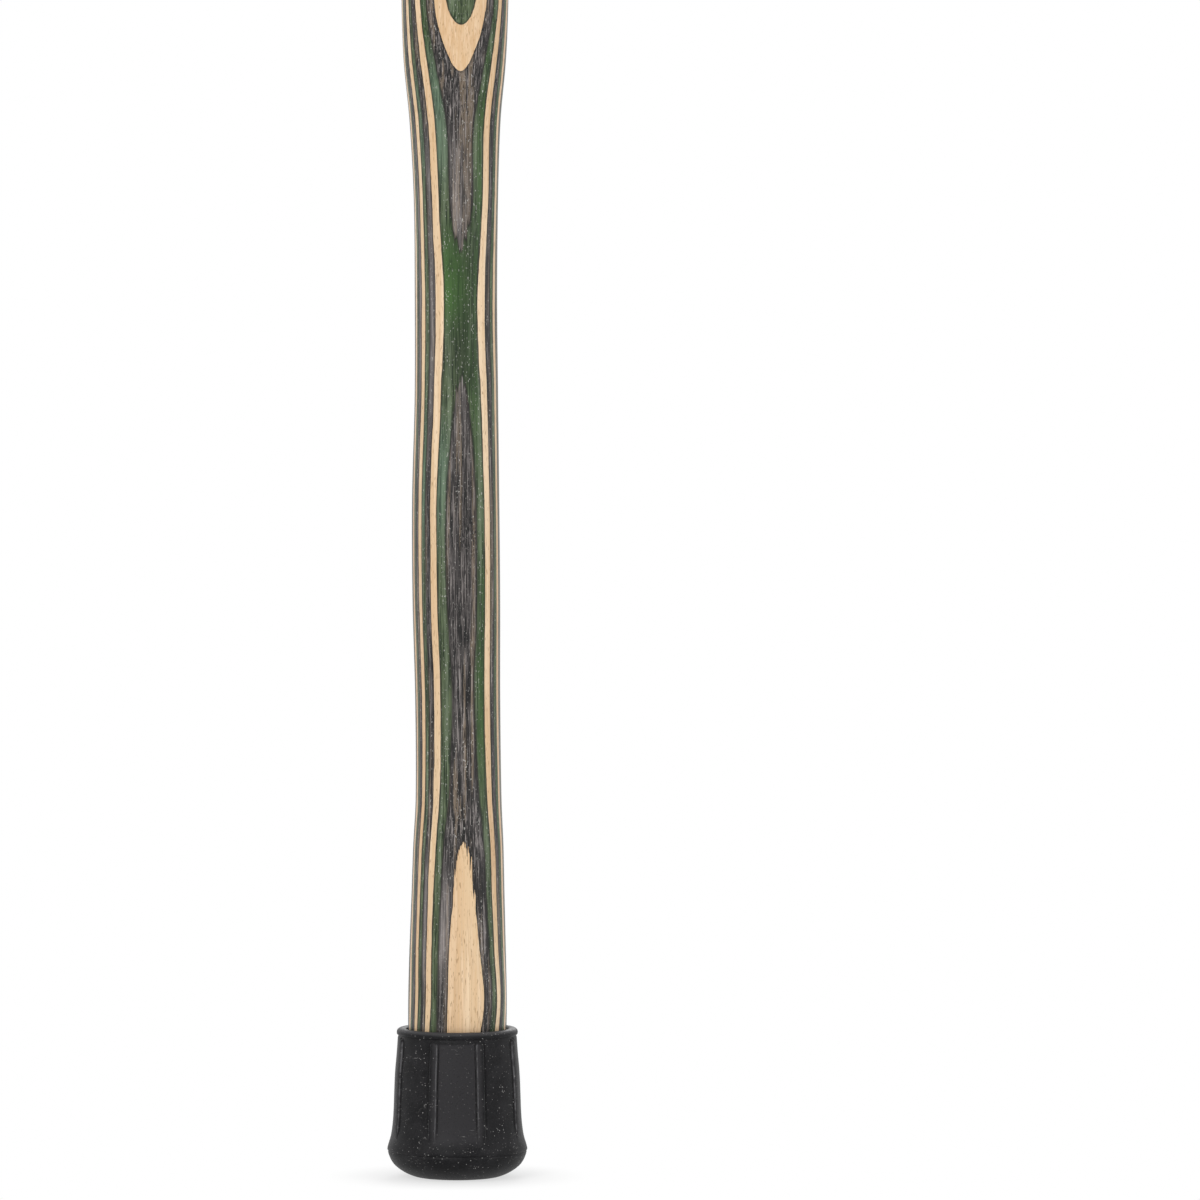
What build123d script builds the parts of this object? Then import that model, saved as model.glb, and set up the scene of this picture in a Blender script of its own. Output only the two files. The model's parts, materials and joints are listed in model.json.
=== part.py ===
from build123d import *
import math
import os

os.makedirs("parts", exist_ok=True)

# A hiking staff carved from a block of dyed veneers, with a push-on rubber ferrule.
# Millimetres, +Z up, origin on the ground under the centre of the ferrule. The veneers are
# stacked along Y: the staff's front is -Y and its back +Y.

# ---- sizes a user would change ----
staff_length = 1219.0        # ground to top, 48 in
dyed_veneer = 1.2            # thickness of a grey or green veneer
natural_veneer = 1.4         # thickness of an undyed veneer
veneer_threes = 8            # grey, green and natural, this many times
tip_diameter = 25.4          # turned round tip inside the ferrule, 1 in
tip_clearance = 0.05         # tip to bore, radial
ferrule_height = 40.5
ferrule_floor = 8.0          # rubber under the washer
rim_radius = 16.1            # outside of the ferrule's rim
foot_radius = 18.95          # widest part, at the foot
tread_radius = 9.0           # flat that touches the ground
rib_count = 8
rib_width = 2.2
rib_height = 0.5
mouth_clearance = 0.35       # wood to the ferrule's mouth, radial
washer_thickness = 1.5
washer_hole = 10.0
top_round = 18.0             # height of the rounded top end

# ---- what follows from them ----
tip_radius = tip_diameter / 2
bore_radius = tip_radius + tip_clearance
washer_radius = bore_radius - 0.35
tip_end = ferrule_floor + washer_thickness      # the tip stands on the washer
neck_radius = tip_radius + 0.6                  # shaft where it enters the mouth
mouth_radius = neck_radius + mouth_clearance
mouth_depth = 1.3
neck_z = ferrule_height - mouth_depth           # the shaft's free form starts here
blank = veneer_threes * (2 * dyed_veneer + natural_veneer)
blank_front = -blank * 0.533                    # the block's front face
depth_k = blank / 30.4                          # the carving fills the block

# ---- the carved form ----
# Sections of the shaft: height, left (-X), right (+X), front (-Y), back (+Y), skew in degrees.
# A section is a skewed ellipse between those four limits. The low ones are heights above the
# shaft's neck, read from the left column of the photo.
low = [
    (9.8, -13.2, 13.3, -13.35, 13.2, 0),
    (22.8, -12.9, 13.1, -13.1, 13.05, 0),
    (36.8, -12.4, 12.8, -12.65, 12.5, 0),
    (50.8, -11.9, 12.5, -12.4, 12.2, 0),
    (63.8, -11.2, 12.0, -12.0, 12.0, 0),
    (90.8, -11.3, 11.7, -11.6, 12.0, 0),
    (117.8, -12.0, 11.7, -11.9, 12.3, 0),
    (144.8, -12.1, 11.45, -11.9, 12.1, 0),
    (171.8, -11.4, 11.15, -11.45, 11.3, 0),
    (198.8, -11.35, 10.9, -10.75, 10.9, 0),
    (225.8, -11.65, 11.1, -11.35, 10.9, 0),
    (246.8, -12.8, 11.8, -11.55, 11.0, 0),
    (262.8, -14.4, 13.2, -12.55, 11.3, 0),
    (277.8, -15.0, 13.8, -13.95, 12.0, 0),
    (293.0, -15.1, 13.9, -14.45, 12.4, 0),
    (311.0, -14.7, 13.8, -14.2, 12.4, 0),
    (341.0, -13.3, 12.9, -12.9, 12.3, 0),
    (391.0, -12.0, 12.3, -11.9, 12.3, 0),
    (441.0, -11.6, 12.4, -12.0, 12.4, -2),
    (491.0, -11.4, 13.2, -12.8, 12.4, -6),
    (536.0, -9.9, 13.8, -11.7, 12.9, -15),
]
# Heights of the grip's sections count down from the staff's top, read from the right column.
grip = [
    (599.0, -8.4, 13.8, -10.5, 13.1, -25),
    (572.0, -9.0, 13.3, -11.0, 13.0, -28),
    (545.0, -13.3, 14.6, -13.2, 11.6, -27),
    (518.0, -17.2, 15.9, -15.5, 9.2, -20),
    (491.0, -19.4, 17.4, -14.0, 8.1, -9),
    (464.0, -20.2, 17.6, -11.9, 10.0, 5),
    (437.0, -18.2, 16.0, -11.3, 12.4, 11),
    (410.0, -15.5, 13.5, -10.7, 13.2, 6),
    (383.0, -13.4, 11.4, -10.6, 13.55, -5),
    (356.0, -13.6, 10.7, -11.7, 13.8, -12),
    (329.0, -15.2, 10.9, -13.3, 12.9, -13),
    (302.0, -16.5, 11.4, -14.7, 11.7, -12),
    (275.0, -17.5, 11.2, -15.6, 10.2, -10),
    (250.0, -17.5, 11.6, -15.4, 9.7, -8),
    (219.0, -16.2, 12.4, -14.4, 10.9, -4),
    (169.0, -14.2, 12.6, -12.0, 12.3, 0),
    (119.0, -13.9, 13.4, -12.9, 13.3, 6),
    (69.0, -15.0, 14.8, -14.4, 13.5, 8),
    (40.0, -15.2, 14.9, -14.5, 13.4, 5),
]
# The rounded top end shrinks the last section along a quarter of an ellipse.
top_section = (-14.9, 14.6, -14.2, 13.2, 3)
top_steps = (0, 25, 45, 60, 72, 82)             # degrees up that quarter
top_last = math.sin(math.radians(86))

cone = 0.6                                      # bevel from the turned tip to the neck
round_z = staff_length - top_round              # the top end's rounding starts here
stations = [(neck_z, -neck_radius, neck_radius, -neck_radius, neck_radius, 0)]
stations += [(neck_z + h, *rest) for h, *rest in low]
stations += [(staff_length - d, *rest) for d, *rest in grip]
stations += [(round_z, *top_section)]


def limits(z):
    # left, right, front, back and skew of the shaft at height z
    if z <= neck_z:
        k = tip_radius + (neck_radius - tip_radius) * max(0, (z - neck_z + cone) / cone)
        return -k, k, -k, k, 0
    if z >= round_z:
        k = math.sqrt(max(0, 1 - ((z - round_z) / top_round * top_last) ** 2))
        left, right, front, back, skew = top_section
        mx, my = (left + right) / 2, (front + back) / 2
        return (mx + (left - mx) * k, mx + (right - mx) * k,
                (my + (front - my) * k) * depth_k, (my + (back - my) * k) * depth_k, skew)
    i = max(n for n, s in enumerate(stations) if s[0] <= z)
    p0, p1 = stations[max(i - 1, 0)], stations[i]
    p2, p3 = stations[i + 1], stations[min(i + 2, len(stations) - 1)]
    h = p2[0] - p1[0]
    t = (z - p1[0]) / h
    out = []
    for c in range(1, 6):
        # smooth curve through the stations
        m1 = (p2[c] - p0[c]) / (p2[0] - p0[0]) * h
        m2 = (p3[c] - p1[c]) / (p3[0] - p1[0]) * h
        v = ((2 * t**3 - 3 * t**2 + 1) * p1[c] + (t**3 - 2 * t**2 + t) * m1
             + (-2 * t**3 + 3 * t**2) * p2[c] + (t**3 - t**2) * m2)
        out.append(v)
    k = 1 + (depth_k - 1) * min(1, (z - neck_z) / 20)
    return out[0], out[1], out[2] * k, out[3] * k, out[4]


def outline(z, y):
    # left and right end of the section's chord in the plane Y = y
    left, right, front, back, skew = limits(z)
    q = (y - (front + back) / 2) / ((back - front) / 2)
    a = math.asin(max(-1, min(1, q)))
    d = math.radians(skew)
    mx, ax = (left + right) / 2, (right - left) / 2
    return mx - ax * math.cos(a + d), mx + ax * math.cos(a - d)


def depth(z, y0, y1):
    # how much of the section lies between two glue planes
    left, right, front, back, skew = limits(z)
    return min(y1, back) - max(y0, front)


thinnest = 0.03                                 # a veneer's feather edge ends here


def ply_section(z, y0, y1, curved):
    # the veneer's cross-section: its two glue faces and the carved edges between them, which
    # are arcs near the staff's front and back and all but straight elsewhere
    left, right, front, back, skew = limits(z)
    lo, hi = max(y0, front + 0.015), min(y1, back - 0.015)
    mid = (lo + hi) / 2
    if front > y0:                              # at the staff's front the middle leans outward
        mid = lo + (hi - lo) * 0.3
    if back < y1:
        mid = hi - (hi - lo) * 0.3
    (l0, r0), (lm, rm), (l1, r1) = outline(z, lo), outline(z, mid), outline(z, hi)
    if not curved:
        return Wire(Polyline((l0, lo, z), (r0, lo, z), (r1, hi, z), (l1, hi, z), close=True).edges())
    return Wire([
        Edge.make_line((l0, lo, z), (r0, lo, z)),
        Edge.make_three_point_arc((r0, lo, z), (rm, mid, z), (r1, hi, z)),
        Edge.make_line((r1, hi, z), (l1, hi, z)),
        Edge.make_three_point_arc((l1, hi, z), (lm, mid, z), (l0, lo, z)),
    ])


def bulge(z, y0, y1):
    # how far the carved edges stand out from a straight line
    left, right, front, back, skew = limits(z)
    lo, hi = max(y0, front + 0.015), min(y1, back - 0.015)
    (l0, r0), (lm, rm), (l1, r1) = outline(z, lo), outline(z, (lo + hi) / 2), outline(z, hi)
    return max(rm - (r0 + r1) / 2, (l0 + l1) / 2 - lm)


# ---- veneers: the block's layers, each lofted through its own sections ----
levels = [tip_end, neck_z - cone] + [s[0] for s in stations]
levels += [round_z + top_round * math.sin(math.radians(a)) / top_last for a in top_steps[1:]]
levels.append(staff_length)
tip_marks = (1.5, 5.0, 12.0)                    # extra sections near a veneer's pointed ends


def runs(y0, y1):
    # the heights between which the veneer exists, found on a fine ladder and then by halving
    step = 1.0
    z, found, start = tip_end, [], None
    ladder = [tip_end + step * n for n in range(int((staff_length - tip_end) / step) + 1)]
    ladder += [staff_length]
    before = None
    for z in ladder:
        inside = depth(z, y0, y1) > thinnest
        if before is None:
            start = z if inside else None
        elif inside != before[1]:
            a, b = before[0], z
            for _ in range(24):
                m = (a + b) / 2
                a, b = (m, b) if (depth(m, y0, y1) > thinnest) == before[1] else (a, m)
            if inside:
                start = b
            else:
                found.append((start, a))
                start = None
        before = (z, inside)
    if start is not None:
        found.append((start, staff_length))
    return found


kinds = [("grey", dyed_veneer), ("green", dyed_veneer), ("natural", natural_veneer)]
pieces = {}
front = blank_front
total = 0
for n in range(3 * veneer_threes):
    kind, thickness = kinds[n % 3]
    bits = []
    for za, zb in runs(front, front + thickness):
        if zb - za < 4:
            continue
        zs = {za, zb}
        zs |= {za + m for m in tip_marks if za > tip_end and za + 2 * m < zb}
        zs |= {zb - m for m in tip_marks if zb < round_z and zb - 2 * m > za}
        zs |= {z for z in levels if za < z < zb and min(abs(z - k) for k in zs) > 0.25}
        body = [z for z in zs if tip_end + 1 < z < round_z]
        curved = max(bulge(z, front, front + thickness) for z in body) > 0.1
        bits.append(Solid.make_loft([ply_section(z, front, front + thickness, curved)
                                     for z in sorted(zs)], ruled=True))
    total += sum(b.volume for b in bits)
    pieces[f"ply_{n + 1:02d}_{kind}"] = Compound(bits) if len(bits) > 1 else bits[0]
    print(f"ply {n + 1:02d} {kind:8s} y {front:7.2f} solids {len(bits)}",
          [(round(b.volume), b.is_valid) for b in bits])
    front += thickness
print("veneers together", round(total))

# ---- ferrule ----
rib_top = ferrule_height - 3.2
rib_foot = 11.0
collar_z = ferrule_height - 2.6
outer = [(foot_radius, 8.0), (18.5, 9.6), (17.85, 12.0), (17.4, 15.8), (17.15, 21.0),
         (16.95, 27.0), (16.5, 32.5), (rim_radius, collar_z - 0.5)]


def ring_profile(grow=0.0):
    # half section of the rubber: tread, domed foot, flared side, rim and bore
    side = Spline([(r + grow, z) for r, z in outer], tangents=[(-0.2, 1), (-0.06, 1)])
    return side


dome = Spline([(tread_radius, 0), (15.2, 2.2), (18.25, 5.2), (foot_radius - 0.1, 7.0)],
              tangents=[(1, 0.16), (0.15, 1)])
half = Wire([
    *Polyline((0, ferrule_floor), (0, 0), (3.4, 0), (3.9, 0.9), (4.7, 0.9), (5.2, 0),
              (6.4, 0), (6.9, 0.9), (7.7, 0.9), (8.2, 0), (tread_radius, 0)).edges(),
    dome.edge(),
    Edge.make_line((foot_radius - 0.1, 7.0), (foot_radius, 7.2)),
    Edge.make_line((foot_radius, 7.2), (foot_radius, 8.0)),
    ring_profile().edge(),
    *Polyline((rim_radius, collar_z - 0.5), (rim_radius + 0.25, collar_z),
              (rim_radius + 0.1, ferrule_height - 0.9)).edges(),
    Edge.make_three_point_arc((rim_radius + 0.1, ferrule_height - 0.9),
                              (rim_radius - 0.2, ferrule_height - 0.25),
                              (rim_radius - 0.9, ferrule_height)),
    *Polyline((rim_radius - 0.9, ferrule_height), (mouth_radius + 0.4, ferrule_height),
              (mouth_radius, ferrule_height - 0.4), (mouth_radius, neck_z),
              (bore_radius, neck_z - (mouth_radius - bore_radius)),
              (bore_radius, ferrule_floor), (0, ferrule_floor)).edges(),
])
rubber = revolve(Plane.XZ * Face(half), Axis.Z, 360)

# raised ribs with rounded upper ends, one on each side of every panel
rib_side = ring_profile(rib_height)
rib_ring = Wire([
    rib_side.edge(),
    Edge.make_line(rib_side @ 1, (bore_radius + 1.5, (rib_side @ 1).Y)),
    Edge.make_line((bore_radius + 1.5, (rib_side @ 1).Y), (bore_radius + 1.5, (rib_side @ 0).Y)),
    Edge.make_line((bore_radius + 1.5, (rib_side @ 0).Y), rib_side @ 0),
])
rib_ring = revolve(Plane.XZ * Face(rib_ring), Axis.Z, 360)
bar = Pos(0, (rib_top - rib_width / 2 + rib_foot) / 2) * Rectangle(
    rib_width, rib_top - rib_width / 2 - rib_foot) + Pos(0, rib_top - rib_width / 2) * Circle(rib_width / 2)
bar = extrude(Plane.XZ.offset(bore_radius + 2.2) * bar, 8)
for i in range(rib_count):
    turned = Rot(0, 0, 360 / rib_count * (i + 0.5)) * bar
    rubber += rib_ring & turned
pieces["rubber_ferrule"] = rubber.solids()[0]
print("rubber solids", len(rubber.solids()), "valid", rubber.is_valid)

# ---- washer under the tip ----
washer = Cylinder(washer_radius, washer_thickness, align=(Align.CENTER, Align.CENTER, Align.MIN))
washer -= Cylinder(washer_hole / 2, washer_thickness, align=(Align.CENTER, Align.CENTER, Align.MIN))
washer = chamfer(washer.edges().filter_by(GeomType.CIRCLE).group_by(SortBy.RADIUS)[-1], 0.25)
pieces["ferrule_washer"] = Pos(0, 0, ferrule_floor) * washer

for name, shape in pieces.items():
    export_step(shape, f"parts/{name}.step")
print(len(pieces), "nodes")
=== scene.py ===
import json
import math

import bmesh
import bpy
import numpy as np
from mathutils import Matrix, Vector

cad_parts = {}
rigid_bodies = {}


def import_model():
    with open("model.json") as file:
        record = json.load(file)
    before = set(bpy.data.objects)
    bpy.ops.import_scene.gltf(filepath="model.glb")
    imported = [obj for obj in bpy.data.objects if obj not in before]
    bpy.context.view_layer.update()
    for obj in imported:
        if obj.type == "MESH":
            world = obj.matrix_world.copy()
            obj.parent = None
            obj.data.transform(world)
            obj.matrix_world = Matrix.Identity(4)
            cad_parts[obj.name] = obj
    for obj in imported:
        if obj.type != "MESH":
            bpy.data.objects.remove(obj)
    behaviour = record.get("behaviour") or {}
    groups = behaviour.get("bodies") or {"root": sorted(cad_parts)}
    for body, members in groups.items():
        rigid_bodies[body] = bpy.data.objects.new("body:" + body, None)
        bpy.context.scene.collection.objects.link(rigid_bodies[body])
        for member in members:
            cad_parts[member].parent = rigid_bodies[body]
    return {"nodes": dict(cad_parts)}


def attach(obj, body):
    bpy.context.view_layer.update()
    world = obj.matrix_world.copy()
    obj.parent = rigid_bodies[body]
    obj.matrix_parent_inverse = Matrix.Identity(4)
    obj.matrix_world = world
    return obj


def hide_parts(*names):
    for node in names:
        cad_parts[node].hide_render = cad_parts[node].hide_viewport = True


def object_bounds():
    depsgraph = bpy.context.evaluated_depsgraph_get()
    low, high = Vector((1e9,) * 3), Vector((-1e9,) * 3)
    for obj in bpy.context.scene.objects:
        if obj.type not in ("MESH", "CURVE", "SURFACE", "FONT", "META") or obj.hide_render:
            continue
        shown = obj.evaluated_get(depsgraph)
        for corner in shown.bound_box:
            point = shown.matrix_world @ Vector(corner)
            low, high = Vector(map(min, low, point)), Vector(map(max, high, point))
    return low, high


# Hiking staff carved from a block of dyed veneers, with a push-on ribbed rubber ferrule.
# The veneers are stacked along Y, the staff's front is -Y. Metres in the file, millimetres in the
# dictionaries.

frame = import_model()
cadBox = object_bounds()
mm = 0.001

for o in list(bpy.data.objects):
    if o.type in {"LIGHT", "CAMERA"}:
        bpy.data.objects.remove(o)
scene = bpy.context.scene
print("frame loaded:", len(frame["nodes"]), "nodes")


# small helpers for node trees

def addNode(tree, kind, **inputs):
    # a node with its properties and constant inputs; names with spaces are given with underscores
    node = tree.nodes.new(kind)
    for name, value in inputs.items():
        label = name.replace("_", " ")
        if label in node.inputs:
            node.inputs[label].default_value = value
        else:
            setattr(node, name, value)
    return node


def link(tree, a, b):
    tree.links.new(a, b)


def doMath(tree, op, a, b=None, c=None, clamp=False):
    # arithmetic on sockets or numbers
    node = tree.nodes.new("ShaderNodeMath")
    node.operation = op
    node.use_clamp = clamp
    for i, value in enumerate((a, b, c)):
        if value is None:
            continue
        if isinstance(value, (int, float)):
            node.inputs[i].default_value = value
        else:
            tree.links.new(value, node.inputs[i])
    return node.outputs[0]


def scaled(tree, vector, factors, offset=(0, 0, 0)):
    # a vector stretched along its axes, which stretches the grain
    node = tree.nodes.new("ShaderNodeMapping")
    node.inputs["Scale"].default_value = factors
    node.inputs["Location"].default_value = offset
    tree.links.new(vector, node.inputs["Vector"])
    return node.outputs[0]


def noise(tree, vector, scale, detail=2.0, rough=0.5, distortion=0.0):
    node = addNode(tree, "ShaderNodeTexNoise", Scale=scale, Detail=detail, Roughness=rough,
                   Distortion=distortion)
    tree.links.new(vector, node.inputs["Vector"])
    return node.outputs["Fac"]


def ramp(tree, value, low, high, outLow=0.0, outHigh=1.0, smooth=True):
    node = tree.nodes.new("ShaderNodeMapRange")
    node.interpolation_type = "SMOOTHSTEP" if smooth else "LINEAR"
    node.inputs["From Min"].default_value = low
    node.inputs["From Max"].default_value = high
    node.inputs["To Min"].default_value = outLow
    node.inputs["To Max"].default_value = outHigh
    tree.links.new(value, node.inputs["Value"])
    return node.outputs["Result"]


def mixColor(tree, factor, a, b, blend="MIX"):
    node = tree.nodes.new("ShaderNodeMix")
    node.data_type = "RGBA"
    node.blend_type = blend
    node.clamp_factor = True
    for socket, value in ((node.inputs["Factor"], factor), (node.inputs[6], a), (node.inputs[7], b)):
        if isinstance(value, (int, float)):
            socket.default_value = value
        elif isinstance(value, tuple):
            socket.default_value = value
        else:
            tree.links.new(value, socket)
    return node.outputs[2]


def srgb(r, g, b):
    # a colour as a picture shows it, 0 to 255, for a shader
    def one(v):
        v = v / 255
        return v / 12.92 if v <= 0.04045 else ((v + 0.055) / 1.055) ** 2.4
    return (one(r), one(g), one(b), 1.0)


# the carved form: sections of the shaft in millimetres
staff = {
    "length": 1219.0,          # ground to top
    "dyedVeneer": 1.3,
    "naturalVeneer": 1.2,
    "threes": 8,               # grey, green, natural, this many times
    "blankFront": -16.3,       # the block's front face
    "tipRadius": 12.7,         # turned tip inside the ferrule
    "tipEnd": 9.5,
    "neckRadius": 13.3,
    "neckHeight": 39.2,
    "bevel": 0.6,
    "topRound": 18.0,
    "ringStep": 2.5,           # height between mesh rings
}

# height above the neck, left, right, front, back, skew in degrees
lowSections = [
    (9.8, -13.2, 13.3, -13.5, 13.2, -3),
    (22.8, -12.9, 13.1, -13.2, 13.05, -1),
    (36.8, -12.4, 12.8, -12.85, 12.5, 0),
    (50.8, -11.9, 12.5, -12.57, 12.2, 0),
    (63.8, -11.2, 12.0, -12.0, 12.0, 0),
    (90.8, -11.3, 11.7, -11.6, 12.0, 0),
    (117.8, -12.0, 11.7, -11.9, 12.3, 0),
    (144.8, -12.1, 11.45, -11.9, 12.1, 0),
    (171.8, -11.4, 11.15, -11.32, 11.3, 0),
    (198.8, -11.35, 10.9, -10.85, 10.9, 0),
    (225.8, -11.65, 11.1, -11.62, 10.9, 0),
    (246.8, -12.8, 11.8, -11.75, 11.0, 0),
    (262.8, -14.4, 13.2, -12.67, 11.3, 0),
    (277.8, -15.0, 13.8, -14.1, 12.0, 0),
    (293.0, -15.1, 13.9, -14.45, 12.4, 0),
    (311.0, -14.7, 13.8, -14.2, 12.4, 0),
    (341.0, -13.3, 12.9, -12.9, 12.3, 0),
    (391.0, -12.0, 12.3, -11.9, 12.3, 0),
    (441.0, -11.6, 12.4, -12.0, 12.4, -2),
    (491.0, -11.4, 13.2, -12.8, 12.4, -6),
    (536.0, -9.9, 13.8, -11.7, 12.9, -15),
]
# depth below the top, then as above
gripSections = [
    (599.0, -8.4, 13.8, -10.5, 13.1, -25),
    (572.0, -9.0, 13.3, -11.0, 13.0, -28),
    (545.0, -13.3, 14.6, -13.2, 11.6, -27),
    (518.0, -17.2, 15.9, -15.5, 9.2, -20),
    (491.0, -19.4, 17.4, -14.0, 8.1, -9),
    (464.0, -20.2, 17.6, -11.9, 10.0, 5),
    (437.0, -18.2, 16.0, -11.3, 12.5, 11),
    (410.0, -15.5, 13.5, -10.7, 13.4, 6),
    (383.0, -13.4, 11.4, -10.6, 13.7, -5),
    (356.0, -13.6, 10.7, -11.7, 13.9, -12),
    (329.0, -15.2, 10.9, -13.3, 13.05, -13),
    (302.0, -16.5, 11.4, -14.7, 11.7, -12),
    (275.0, -17.5, 11.2, -15.6, 10.2, -10),
    (250.0, -17.5, 11.6, -15.4, 9.7, -8),
    (219.0, -16.2, 12.4, -14.4, 10.9, -4),
    (169.0, -14.2, 12.6, -12.0, 12.3, 0),
    (119.0, -13.9, 13.4, -12.9, 13.3, 6),
    (69.0, -15.0, 14.8, -14.4, 13.5, 8),
    (40.0, -15.2, 14.9, -14.5, 13.4, 5),
]
topSection = (-14.9, 14.6, -14.2, 13.2, 3)
roundHeight = staff["length"] - staff["topRound"]
neck = staff["neckRadius"]
leftmost = cadBox[0][0] / mm + 0.01      # the bulge at the grip stays inside the frame's box
stations = [(staff["neckHeight"], -neck, neck, -neck, neck, 0)]
stations += [(staff["neckHeight"] + s[0],) + s[1:] for s in lowSections]
stations += [(staff["length"] - s[0],) + s[1:] for s in gripSections]
stations += [(roundHeight,) + topSection]


def sectionAt(z):
    # middle X, half width, middle Y, half depth and skew in radians at height z
    if z <= staff["neckHeight"]:
        k = max(0.0, (z - staff["neckHeight"] + staff["bevel"]) / staff["bevel"])
        r = staff["tipRadius"] + (neck - staff["tipRadius"]) * k
        return 0.0, r, 0.0, r, 0.0
    if z >= roundHeight:
        left, right, front, back, skew = topSection
        k = (z - roundHeight) / staff["topRound"] * math.sin(math.radians(86))
        k = math.sqrt(max(0.0, 1 - k * k))
        return ((left + right) / 2, (right - left) / 2 * k, (front + back) / 2,
                (back - front) / 2 * k, math.radians(skew))
    i = max(n for n, s in enumerate(stations) if s[0] <= z)
    i = min(i, len(stations) - 2)
    p0, p1 = stations[max(i - 1, 0)], stations[i]
    p2, p3 = stations[i + 1], stations[min(i + 2, len(stations) - 1)]
    h = p2[0] - p1[0]
    t = (z - p1[0]) / h
    v = []
    for c in range(1, 6):
        m1 = (p2[c] - p0[c]) / (p2[0] - p0[0]) * h
        m2 = (p3[c] - p1[c]) / (p3[0] - p1[0]) * h
        v.append((2 * t**3 - 3 * t**2 + 1) * p1[c] + (t**3 - 2 * t**2 + t) * m1
                 + (-2 * t**3 + 3 * t**2) * p2[c] + (t**3 - t**2) * m2)
    return (v[0] + v[1]) / 2, (v[1] - v[0]) / 2, (v[2] + v[3]) / 2, (v[3] - v[2]) / 2, math.radians(v[4])


def angleAt(section, y):
    # how far round the section the plane Y = y cuts it, from -90 at the front to 90 at the back
    return math.asin(max(-1.0, min(1.0, (y - section[2]) / section[3])))


def sidePoint(section, a, side):
    mx, ax, my, by, d = section
    if side > 0:
        return mx + ax * math.cos(a - d), my + by * math.sin(a)
    return max(mx - ax * math.cos(a + d), leftmost), my + by * math.sin(a)


def sideNormal(z, a, side):
    # the carved surface's own normal, so that neighbouring veneers shade as one skin
    s0, s1, s2 = sectionAt(z), sectionAt(max(z - 0.4, staff["tipEnd"])), sectionAt(min(z + 0.4, 1218.95))
    x0, y0 = sidePoint(s0, a - 0.01, side)
    x1, y1 = sidePoint(s0, a + 0.01, side)
    xa, ya = sidePoint(s1, a, side)
    xb, yb = sidePoint(s2, a, side)
    along = Vector((x1 - x0, y1 - y0, 0))
    up = Vector((xb - xa, yb - ya, 0.8))
    n = along.cross(up) if side > 0 else up.cross(along)
    return n.normalized()


def veneerRuns(y0, y1):
    # the heights between which the veneer exists in the carved staff
    def inside(z):
        s = sectionAt(z)
        return min(y1, s[2] + s[3]) - max(y0, s[2] - s[3]) > 1e-4
    found, start, before = [], None, None
    z = staff["tipEnd"]
    top = staff["length"]
    while z <= top:
        now = inside(z)
        if before is None:
            start = z if now else None
        elif now != before[1]:
            a, b = before[0], z
            for _ in range(30):
                m = (a + b) / 2
                if inside(m) == before[1]:
                    a = m
                else:
                    b = m
            if now:
                start = b
            else:
                found.append((start, a))
                start = None
        before = (z, now)
        z = top if z < top < z + 0.5 else z + 0.5
    if start is not None:
        found.append((start, top))
    return [r for r in found if r[1] - r[0] > 2.0]


def ringHeights(za, zb):
    # close rings near a pointed end and over the rounded top
    near = [0.0, 0.05, 0.15, 0.35, 0.7, 1.2, 1.9, 2.8, 4.0, 5.6, 7.5]
    zs = {za, zb}
    if za > staff["tipEnd"]:
        zs |= {za + d for d in near if za + d < zb}
    if zb < roundHeight:
        zs |= {zb - d for d in near if zb - d > za}
    zs |= {staff["neckHeight"] - staff["bevel"], staff["neckHeight"]}
    zs |= {roundHeight + staff["topRound"] * math.sin(math.radians(a)) for a in range(0, 86, 4)}
    count = int((zb - za) / staff["ringStep"]) + 1
    zs |= {za + (zb - za) * n / count for n in range(count)}
    ordered = []
    for z in sorted(zs):
        if za <= z <= zb and (not ordered or z - ordered[-1] > 0.04):
            ordered.append(z)
    ordered[-1] = zb
    return ordered


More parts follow.
